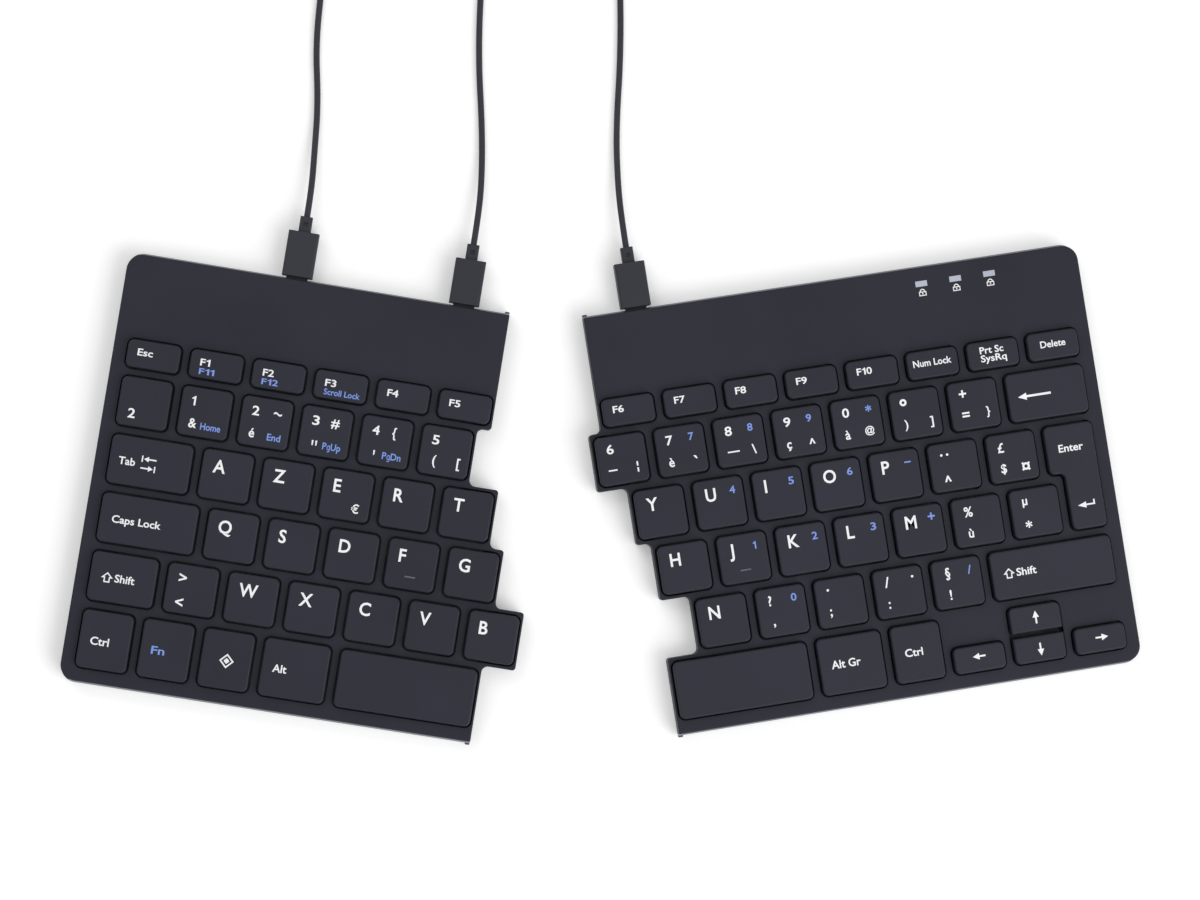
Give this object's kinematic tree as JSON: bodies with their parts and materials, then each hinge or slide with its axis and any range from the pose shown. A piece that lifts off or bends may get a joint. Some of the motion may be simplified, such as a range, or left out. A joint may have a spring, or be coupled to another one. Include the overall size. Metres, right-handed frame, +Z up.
{
  "type": "ergonomic split keyboard",
  "caption": "Thin two-part computer keyboard whose stepped halves lie apart and turned outwards, joined by a short cable behind them, with a host cable wound in a coil.",
  "frame": {"origin": "on the desk under the middle of the two halves' common box, the cables left out", "axes": "+X to the typist's right along the keyboard's width, +Y away from the typist, +Z up from the desk"},
  "size_m": [0.342, 0.3165, 0.01],
  "materials": {
    "case_plastic": "fine matte texture",
    "keycap_plastic": "fine matte texture, lightly satin",
    "plate_metal": "rolled sheet",
    "switch_film": "clear printed film",
    "dome_rubber": "translucent silicone",
    "link_plastic": "moulded",
    "board_laminate": "solder mask",
    "socket_metal": "stamped",
    "screw_steel": "dark zinc",
    "foot_rubber": "matte",
    "window_plastic": "clear, smoked",
    "plug_metal": "stamped",
    "plug_plastic": "moulded, satin",
    "cord_jacket": "smooth jacket"
  },
  "bodies": {
    "left_half": {"left_bottom_cover": "case_plastic", "left_cable_sockets": "socket_metal", "left_circuit_board": "board_laminate", "left_rubber_domes": "dome_rubber", "left_rubber_feet": "foot_rubber", "left_scissor_links": "link_plastic", "left_screws": "screw_steel", "left_support_plate": "plate_metal", "left_switch_sheet": "switch_film", "left_top_cover": "case_plastic", "host_cable": "cord_jacket", "host_cable_coil": "cord_jacket", "host_cable_small_plug": "plug_plastic", "host_cable_small_plug_tip": "plug_metal", "host_cable_computer_plug": "plug_plastic", "host_cable_computer_plug_shell": "plug_metal", "link_cable": "cord_jacket", "link_cable_left_plug": "plug_plastic", "link_cable_left_plug_tip": "plug_metal"},
    "right_half": {"right_bottom_cover": "case_plastic", "right_cable_sockets": "socket_metal", "right_circuit_board": "board_laminate", "right_rubber_domes": "dome_rubber", "right_rubber_feet": "foot_rubber", "right_scissor_links": "link_plastic", "right_screws": "screw_steel", "right_status_windows": "window_plastic", "right_support_plate": "plate_metal", "right_switch_sheet": "switch_film", "right_top_cover": "case_plastic", "link_cable_right_plug": "plug_plastic", "link_cable_right_plug_tip": "plug_metal"},
    "left_alt_key": {"left_alt_key": "keycap_plastic"},
    "left_caps_lock_key": {"left_caps_lock_key": "keycap_plastic"},
    "left_ctrl_key": {"left_ctrl_key": "keycap_plastic"},
    "left_fn_key": {"left_fn_key": "keycap_plastic"},
    "left_function_keys": {"left_function_keys": "keycap_plastic"},
    "left_home_letter_keys": {"left_home_letter_keys": "keycap_plastic"},
    "left_lower_letter_keys": {"left_lower_letter_keys": "keycap_plastic"},
    "left_meta_key": {"left_meta_key": "keycap_plastic"},
    "left_number_keys": {"left_number_keys": "keycap_plastic"},
    "left_shift_key": {"left_shift_key": "keycap_plastic"},
    "left_space_key": {"left_space_key": "keycap_plastic"},
    "left_tab_key": {"left_tab_key": "keycap_plastic"},
    "left_upper_letter_keys": {"left_upper_letter_keys": "keycap_plastic"},
    "right_alt_gr_key": {"right_alt_gr_key": "keycap_plastic"},
    "right_arrow_down_key": {"right_arrow_down_key": "keycap_plastic"},
    "right_arrow_left_key": {"right_arrow_left_key": "keycap_plastic"},
    "right_arrow_right_key": {"right_arrow_right_key": "keycap_plastic"},
    "right_arrow_up_key": {"right_arrow_up_key": "keycap_plastic"},
    "right_backspace_key": {"right_backspace_key": "keycap_plastic"},
    "right_ctrl_key": {"right_ctrl_key": "keycap_plastic"},
    "right_enter_key": {"right_enter_key": "keycap_plastic"},
    "right_function_keys": {"right_function_keys": "keycap_plastic"},
    "right_home_letter_keys": {"right_home_letter_keys": "keycap_plastic"},
    "right_lower_letter_keys": {"right_lower_letter_keys": "keycap_plastic"},
    "right_number_keys": {"right_number_keys": "keycap_plastic"},
    "right_shift_key": {"right_shift_key": "keycap_plastic"},
    "right_space_key": {"right_space_key": "keycap_plastic"},
    "right_upper_letter_keys": {"right_upper_letter_keys": "keycap_plastic"}
  },
  "joints": [
    {"name": "half_spacing", "type": "slide", "parent": "left_half", "child": "right_half", "axis": [1, 0, 0], "range_m": [-0.018, 0.1], "deforming": ["link_cable"]},
    {"name": "left_alt_key_press", "type": "slide", "parent": "left_half", "child": "left_alt_key", "axis": [0, 0, 1], "range_m": [-0.002, 0], "stiffness_N_per_m": 200, "springref_m": 0.001, "deforming": ["left_rubber_domes", "left_scissor_links"]},
    {"name": "left_caps_lock_key_press", "type": "slide", "parent": "left_half", "child": "left_caps_lock_key", "axis": [0, 0, 1], "range_m": [-0.002, 0], "stiffness_N_per_m": 200, "springref_m": 0.001, "deforming": ["left_rubber_domes", "left_scissor_links"]},
    {"name": "left_ctrl_key_press", "type": "slide", "parent": "left_half", "child": "left_ctrl_key", "axis": [0, 0, 1], "range_m": [-0.002, 0], "stiffness_N_per_m": 200, "springref_m": 0.001, "deforming": ["left_rubber_domes", "left_scissor_links"]},
    {"name": "left_fn_key_press", "type": "slide", "parent": "left_half", "child": "left_fn_key", "axis": [0, 0, 1], "range_m": [-0.002, 0], "stiffness_N_per_m": 200, "springref_m": 0.001, "deforming": ["left_rubber_domes", "left_scissor_links"]},
    {"name": "left_function_keys_press", "type": "slide", "parent": "left_half", "child": "left_function_keys", "axis": [0, 0, 1], "range_m": [-0.002, 0], "stiffness_N_per_m": 1200, "springref_m": 0.001, "deforming": ["left_rubber_domes", "left_scissor_links"]},
    {"name": "left_home_letter_keys_press", "type": "slide", "parent": "left_half", "child": "left_home_letter_keys", "axis": [0, 0, 1], "range_m": [-0.002, 0], "stiffness_N_per_m": 1000, "springref_m": 0.001, "deforming": ["left_rubber_domes", "left_scissor_links"]},
    {"name": "left_lower_letter_keys_press", "type": "slide", "parent": "left_half", "child": "left_lower_letter_keys", "axis": [0, 0, 1], "range_m": [-0.002, 0], "stiffness_N_per_m": 1200, "springref_m": 0.001, "deforming": ["left_rubber_domes", "left_scissor_links"]},
    {"name": "left_meta_key_press", "type": "slide", "parent": "left_half", "child": "left_meta_key", "axis": [0, 0, 1], "range_m": [-0.002, 0], "stiffness_N_per_m": 200, "springref_m": 0.001, "deforming": ["left_rubber_domes", "left_scissor_links"]},
    {"name": "left_number_keys_press", "type": "slide", "parent": "left_half", "child": "left_number_keys", "axis": [0, 0, 1], "range_m": [-0.002, 0], "stiffness_N_per_m": 1200, "springref_m": 0.001, "deforming": ["left_rubber_domes", "left_scissor_links"]},
    {"name": "left_shift_key_press", "type": "slide", "parent": "left_half", "child": "left_shift_key", "axis": [0, 0, 1], "range_m": [-0.002, 0], "stiffness_N_per_m": 200, "springref_m": 0.001, "deforming": ["left_rubber_domes", "left_scissor_links"]},
    {"name": "left_space_key_press", "type": "slide", "parent": "left_half", "child": "left_space_key", "axis": [0, 0, 1], "range_m": [-0.002, 0], "stiffness_N_per_m": 200, "springref_m": 0.001, "deforming": ["left_rubber_domes", "left_scissor_links"]},
    {"name": "left_tab_key_press", "type": "slide", "parent": "left_half", "child": "left_tab_key", "axis": [0, 0, 1], "range_m": [-0.002, 0], "stiffness_N_per_m": 200, "springref_m": 0.001, "deforming": ["left_rubber_domes", "left_scissor_links"]},
    {"name": "left_upper_letter_keys_press", "type": "slide", "parent": "left_half", "child": "left_upper_letter_keys", "axis": [0, 0, 1], "range_m": [-0.002, 0], "stiffness_N_per_m": 1000, "springref_m": 0.001, "deforming": ["left_rubber_domes", "left_scissor_links"]},
    {"name": "right_alt_gr_key_press", "type": "slide", "parent": "right_half", "child": "right_alt_gr_key", "axis": [0, 0, 1], "range_m": [-0.002, 0], "stiffness_N_per_m": 200, "springref_m": 0.001, "deforming": ["right_rubber_domes", "right_scissor_links"]},
    {"name": "right_arrow_down_key_press", "type": "slide", "parent": "right_half", "child": "right_arrow_down_key", "axis": [0, 0, 1], "range_m": [-0.002, 0], "stiffness_N_per_m": 200, "springref_m": 0.001, "deforming": ["right_rubber_domes", "right_scissor_links"]},
    {"name": "right_arrow_left_key_press", "type": "slide", "parent": "right_half", "child": "right_arrow_left_key", "axis": [0, 0, 1], "range_m": [-0.002, 0], "stiffness_N_per_m": 200, "springref_m": 0.001, "deforming": ["right_rubber_domes", "right_scissor_links"]},
    {"name": "right_arrow_right_key_press", "type": "slide", "parent": "right_half", "child": "right_arrow_right_key", "axis": [0, 0, 1], "range_m": [-0.002, 0], "stiffness_N_per_m": 200, "springref_m": 0.001, "deforming": ["right_rubber_domes", "right_scissor_links"]},
    {"name": "right_arrow_up_key_press", "type": "slide", "parent": "right_half", "child": "right_arrow_up_key", "axis": [0, 0, 1], "range_m": [-0.002, 0], "stiffness_N_per_m": 200, "springref_m": 0.001, "deforming": ["right_rubber_domes", "right_scissor_links"]},
    {"name": "right_backspace_key_press", "type": "slide", "parent": "right_half", "child": "right_backspace_key", "axis": [0, 0, 1], "range_m": [-0.002, 0], "stiffness_N_per_m": 200, "springref_m": 0.001, "deforming": ["right_rubber_domes", "right_scissor_links"]},
    {"name": "right_ctrl_key_press", "type": "slide", "parent": "right_half", "child": "right_ctrl_key", "axis": [0, 0, 1], "range_m": [-0.002, 0], "stiffness_N_per_m": 200, "springref_m": 0.001, "deforming": ["right_rubber_domes", "right_scissor_links"]},
    {"name": "right_enter_key_press", "type": "slide", "parent": "right_half", "child": "right_enter_key", "axis": [0, 0, 1], "range_m": [-0.002, 0], "stiffness_N_per_m": 200, "springref_m": 0.001, "deforming": ["right_rubber_domes", "right_scissor_links"]},
    {"name": "right_function_keys_press", "type": "slide", "parent": "right_half", "child": "right_function_keys", "axis": [0, 0, 1], "range_m": [-0.002, 0], "stiffness_N_per_m": 1600, "springref_m": 0.001, "deforming": ["right_rubber_domes", "right_scissor_links"]},
    {"name": "right_home_letter_keys_press", "type": "slide", "parent": "right_half", "child": "right_home_letter_keys", "axis": [0, 0, 1], "range_m": [-0.002, 0], "stiffness_N_per_m": 1400, "springref_m": 0.001, "deforming": ["right_rubber_domes", "right_scissor_links"]},
    {"name": "right_lower_letter_keys_press", "type": "slide", "parent": "right_half", "child": "right_lower_letter_keys", "axis": [0, 0, 1], "range_m": [-0.002, 0], "stiffness_N_per_m": 1000, "springref_m": 0.001, "deforming": ["right_rubber_domes", "right_scissor_links"]},
    {"name": "right_number_keys_press", "type": "slide", "parent": "right_half", "child": "right_number_keys", "axis": [0, 0, 1], "range_m": [-0.002, 0], "stiffness_N_per_m": 1400, "springref_m": 0.001, "deforming": ["right_rubber_domes", "right_scissor_links"]},
    {"name": "right_shift_key_press", "type": "slide", "parent": "right_half", "child": "right_shift_key", "axis": [0, 0, 1], "range_m": [-0.002, 0], "stiffness_N_per_m": 200, "springref_m": 0.001, "deforming": ["right_rubber_domes", "right_scissor_links"]},
    {"name": "right_space_key_press", "type": "slide", "parent": "right_half", "child": "right_space_key", "axis": [0, 0, 1], "range_m": [-0.002, 0], "stiffness_N_per_m": 200, "springref_m": 0.001, "deforming": ["right_rubber_domes", "right_scissor_links"]},
    {"name": "right_upper_letter_keys_press", "type": "slide", "parent": "right_half", "child": "right_upper_letter_keys", "axis": [0, 0, 1], "range_m": [-0.002, 0], "stiffness_N_per_m": 1400, "springref_m": 0.001, "deforming": ["right_rubber_domes", "right_scissor_links"]}
  ]
}
